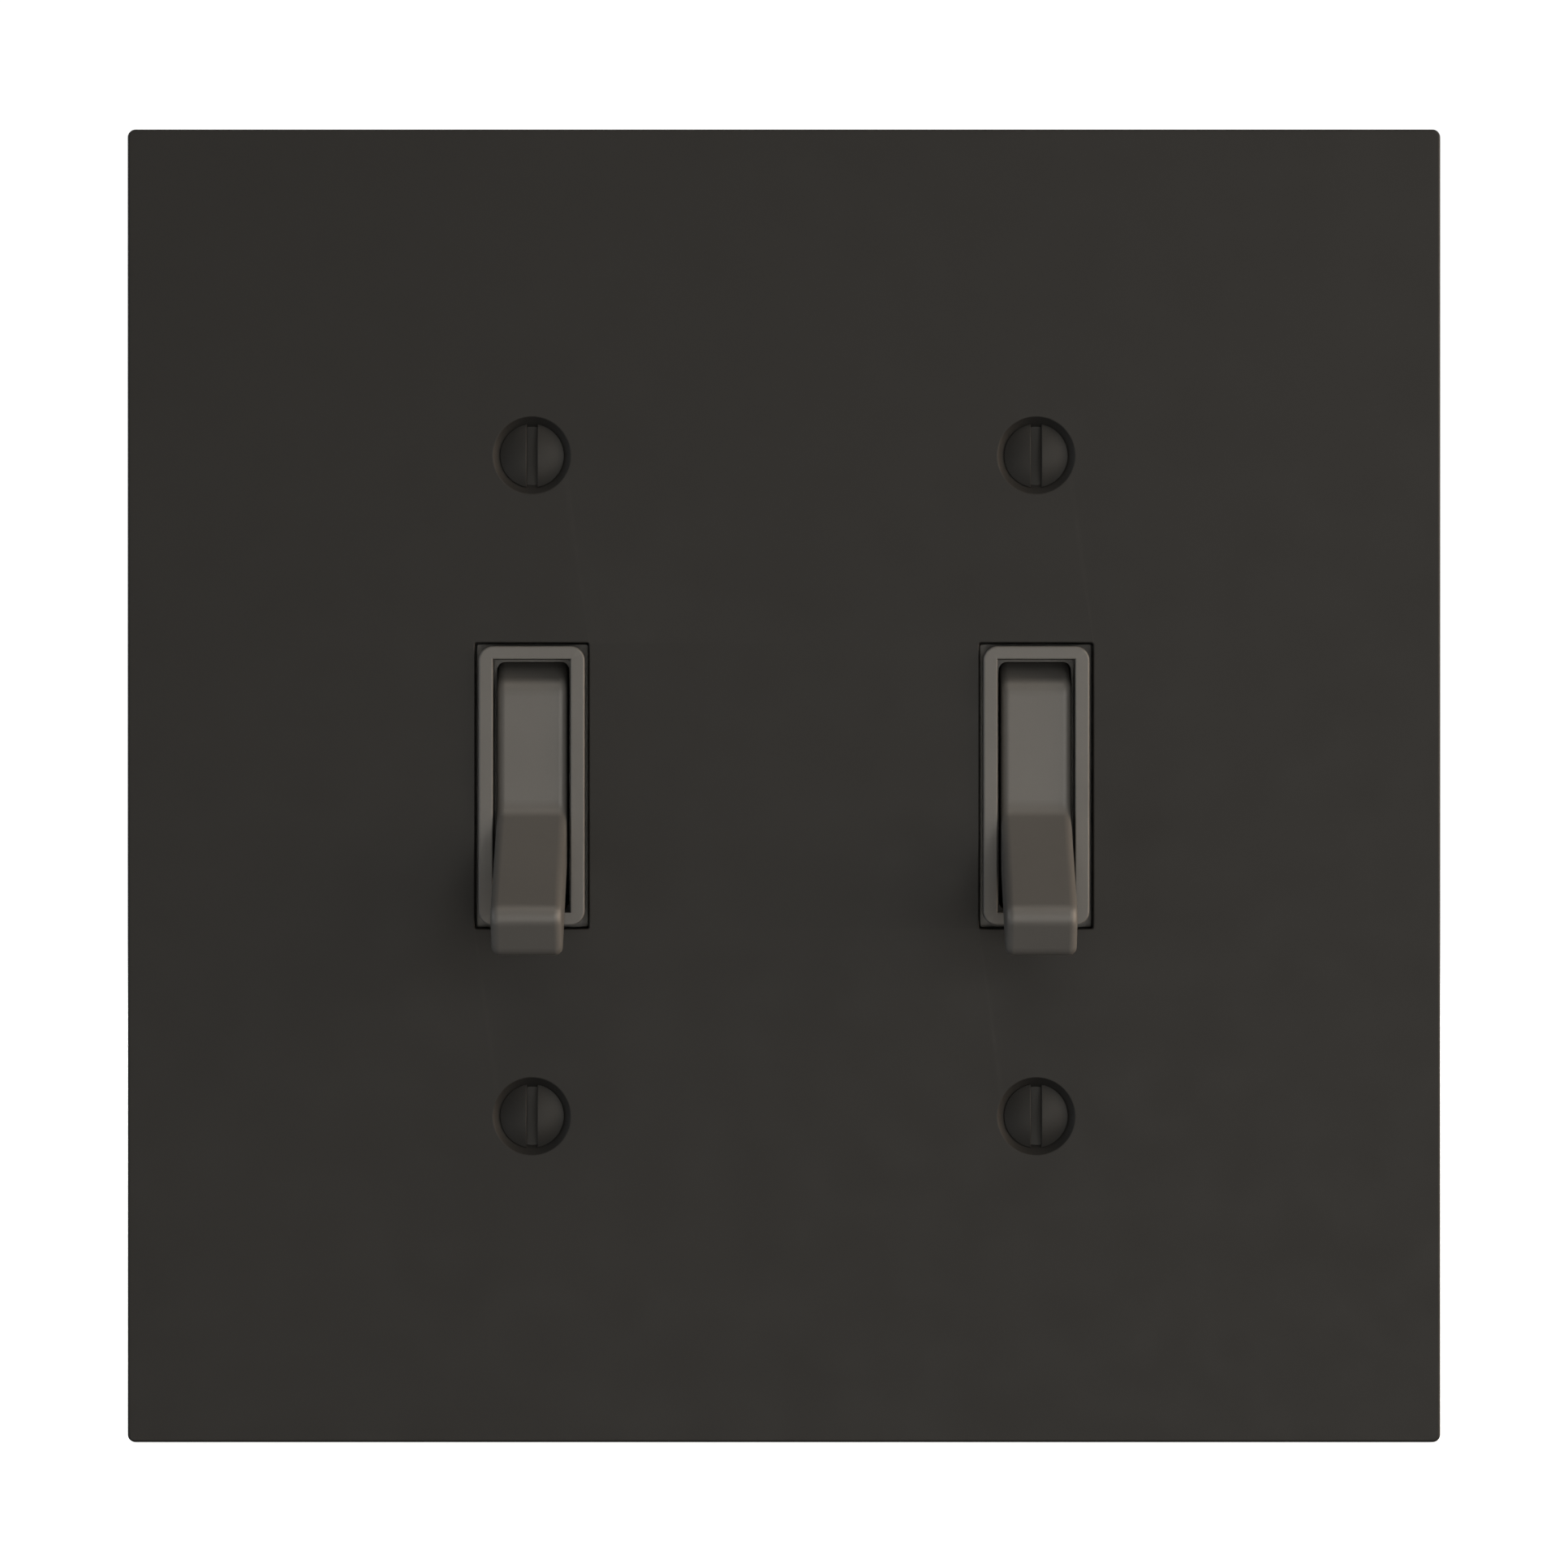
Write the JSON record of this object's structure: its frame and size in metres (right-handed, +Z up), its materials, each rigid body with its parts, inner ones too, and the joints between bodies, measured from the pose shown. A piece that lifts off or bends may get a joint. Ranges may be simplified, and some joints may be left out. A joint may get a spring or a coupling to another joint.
{
  "type": "toggle switch wall plate cover",
  "caption": "Dark square wall plate cover with oval-head slotted screws over toggle switches, whose levers stand in its windows; straps, bodies and terminals sit behind it.",
  "frame": {"origin": "on the wall plane, in the middle of the plate and of the four box screws", "axes": "+Z up, +Y into the wall, -Y towards the room, +X to the right as seen from the room"},
  "size_m": [0.1198, 0.0464, 0.1198],
  "materials": {
    "plate_finish": "satin graphite, smooth moulded",
    "screw_paint": "satin graphite enamel",
    "lever_plastic": "satin moulded, warm grey",
    "collar_plastic": "satin moulded, warm grey",
    "body_thermoset": "moulded thermoset, dark grey",
    "strap_steel": "zinc plated sheet",
    "rivet_steel": "plated, rolled",
    "spring_steel": "drawn wire",
    "nylon": "natural nylon",
    "brass": "stamped sheet",
    "contact_silver": "silver alloy",
    "terminal_brass": "plated screw",
    "ground_green": "green dyed plating",
    "zinc_steel": "zinc plated screw",
    "fibre": "vulcanised fibre sheet"
  },
  "bodies": {
    "root": {"wall_plate": "plate_finish", "left_mounting_strap": "strap_steel", "left_front_cover": "collar_plastic", "left_rear_body": "body_thermoset", "left_body_rivets": "rivet_steel", "left_fixed_contact": "contact_silver", "left_common_terminal": "brass", "left_load_terminal": "brass", "left_common_terminal_screw": "terminal_brass", "left_load_terminal_screw": "terminal_brass", "left_ground_screw": "ground_green", "left_upper_box_screw": "zinc_steel", "left_lower_box_screw": "zinc_steel", "left_screw_retainers": "fibre", "left_upper_plate_screw": "screw_paint", "left_lower_plate_screw": "screw_paint", "right_mounting_strap": "strap_steel", "right_front_cover": "collar_plastic", "right_rear_body": "body_thermoset", "right_body_rivets": "rivet_steel", "right_fixed_contact": "contact_silver", "right_common_terminal": "brass", "right_load_terminal": "brass", "right_common_terminal_screw": "terminal_brass", "right_load_terminal_screw": "terminal_brass", "right_ground_screw": "ground_green", "right_upper_box_screw": "zinc_steel", "right_lower_box_screw": "zinc_steel", "right_screw_retainers": "fibre", "right_upper_plate_screw": "screw_paint", "right_lower_plate_screw": "screw_paint"},
    "left_lever": {"left_toggle_lever": "lever_plastic", "left_detent_spring": "spring_steel"},
    "left_plunger": {"left_detent_plunger": "nylon"},
    "left_rocker": {"left_contact_rocker": "brass", "left_moving_contact": "contact_silver"},
    "right_lever": {"right_toggle_lever": "lever_plastic", "right_detent_spring": "spring_steel"},
    "right_plunger": {"right_detent_plunger": "nylon"},
    "right_rocker": {"right_contact_rocker": "brass", "right_moving_contact": "contact_silver"}
  },
  "joints": [
    {"name": "left_toggle", "type": "hinge", "parent": "root", "child": "left_lever", "pos_m": [-0.02302, 0.003, 0], "axis": [-1, 0, 0], "range_deg": [0, 66]},
    {"name": "left_plunger_slide", "type": "slide", "parent": "left_lever", "child": "left_plunger", "axis": [0, 0.8387, 0.5446], "range_m": [-0.001, 0], "stiffness_N_per_m": 300, "springref_m": 0.003, "deforming": ["left_detent_spring"]},
    {"name": "left_rocker_tilt", "type": "hinge", "parent": "root", "child": "left_rocker", "pos_m": [-0.02302, 0.02058, 0], "axis": [1, 0, 0], "range_deg": [0, 14]},
    {"name": "right_toggle", "type": "hinge", "parent": "root", "child": "right_lever", "pos_m": [0.02302, 0.003, 0], "axis": [-1, 0, 0], "range_deg": [0, 66]},
    {"name": "right_plunger_slide", "type": "slide", "parent": "right_lever", "child": "right_plunger", "axis": [0, 0.8387, 0.5446], "range_m": [-0.001, 0], "stiffness_N_per_m": 300, "springref_m": 0.003, "deforming": ["right_detent_spring"]},
    {"name": "right_rocker_tilt", "type": "hinge", "parent": "root", "child": "right_rocker", "pos_m": [0.02302, 0.02058, 0], "axis": [1, 0, 0], "range_deg": [0, 14]}
  ],
  "couplings": [
    {"joint": "left_rocker_tilt", "follows": "left_toggle", "ratio": 0.2121},
    {"joint": "right_rocker_tilt", "follows": "right_toggle", "ratio": 0.2121}
  ]
}
